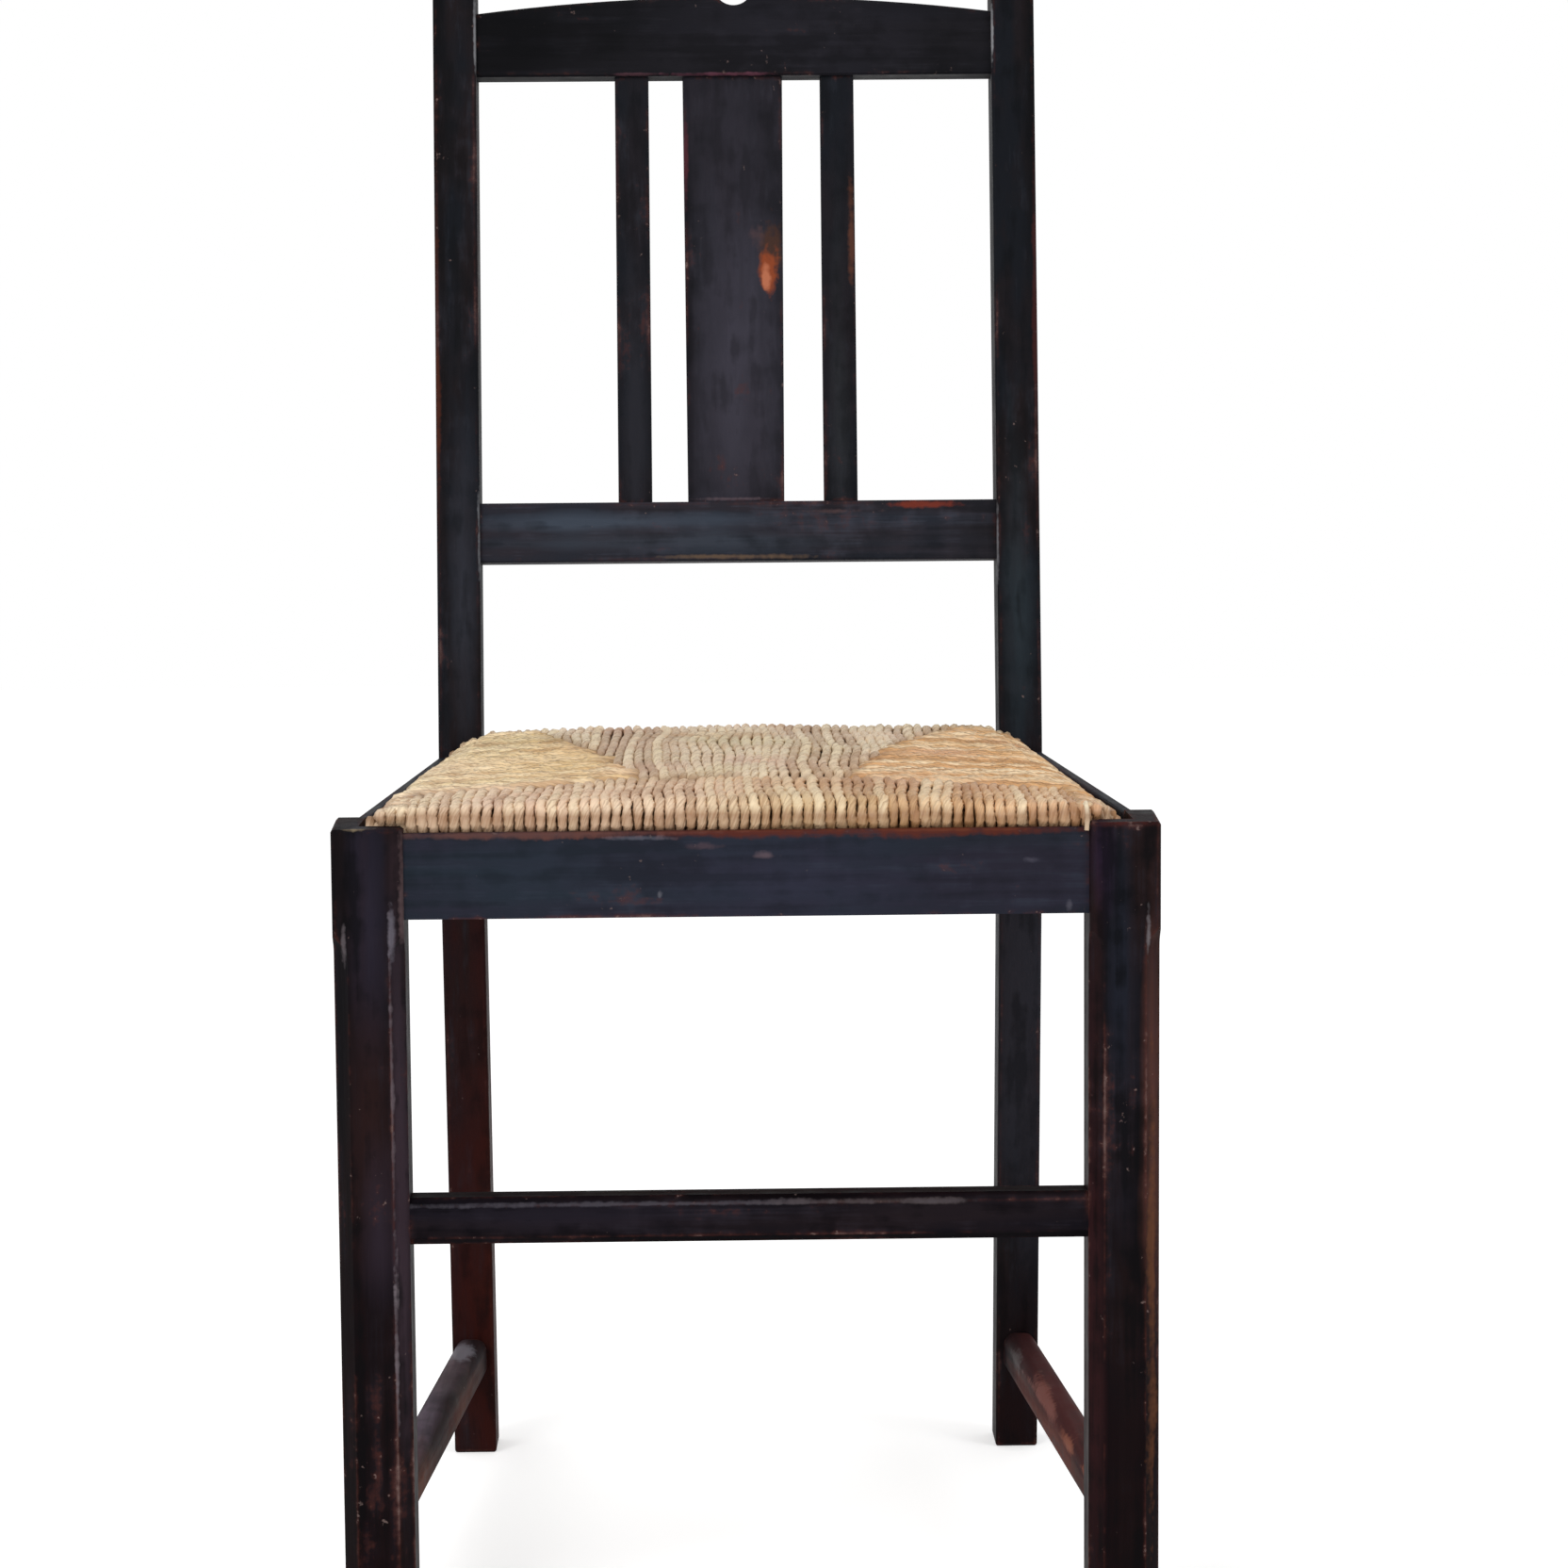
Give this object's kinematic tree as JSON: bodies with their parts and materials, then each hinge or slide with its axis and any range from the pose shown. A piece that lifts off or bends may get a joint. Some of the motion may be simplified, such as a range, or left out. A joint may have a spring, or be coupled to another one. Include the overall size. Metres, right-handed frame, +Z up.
{
  "type": "side chair",
  "caption": "Painted wooden side chair with a raked slatted back, chamfered front legs, low stretchers and a loose woven rush seat that lifts out of its rebated rails.",
  "frame": {"origin": "on the floor, at the centre of the chair's outline", "axes": "+Z up, +Y from the front of the seat towards the back, +X to the right as seen from the front"},
  "size_m": [0.4466, 0.466, 0.945],
  "materials": {
    "painted_wood": "worn satin paint, nearly black, rubbed through to brown at the arrises",
    "bare_wood": "planed, unfinished",
    "rush": "twisted rush, dry and matt",
    "screw_steel": "dull"
  },
  "bodies": {
    "frame": {"front_leg_left": "painted_wood", "front_leg_right": "painted_wood", "rear_post_left": "painted_wood", "rear_post_right": "painted_wood", "front_seat_rail": "painted_wood", "side_seat_rail_left": "painted_wood", "side_seat_rail_right": "painted_wood", "rear_seat_rail": "painted_wood", "crest_rail": "painted_wood", "lower_back_rail": "painted_wood", "centre_splat": "painted_wood", "side_slat_left": "painted_wood", "side_slat_right": "painted_wood", "front_stretcher": "painted_wood", "side_stretcher_left": "painted_wood", "side_stretcher_right": "painted_wood", "corner_block_front_left": "bare_wood", "corner_block_front_right": "bare_wood", "corner_block_rear_left": "bare_wood", "corner_block_rear_right": "bare_wood", "corner_block_screws": "screw_steel"},
    "seat": {"seat_frame_front": "bare_wood", "seat_frame_rear": "bare_wood", "seat_frame_left": "bare_wood", "seat_frame_right": "bare_wood", "rush_stuffing": "rush", "rush_weave": "rush"}
  },
  "joints": [
    {"name": "seat_lift", "type": "slide", "parent": "frame", "child": "seat", "axis": [0, 0, 1], "range_m": [0, 0.06]}
  ]
}
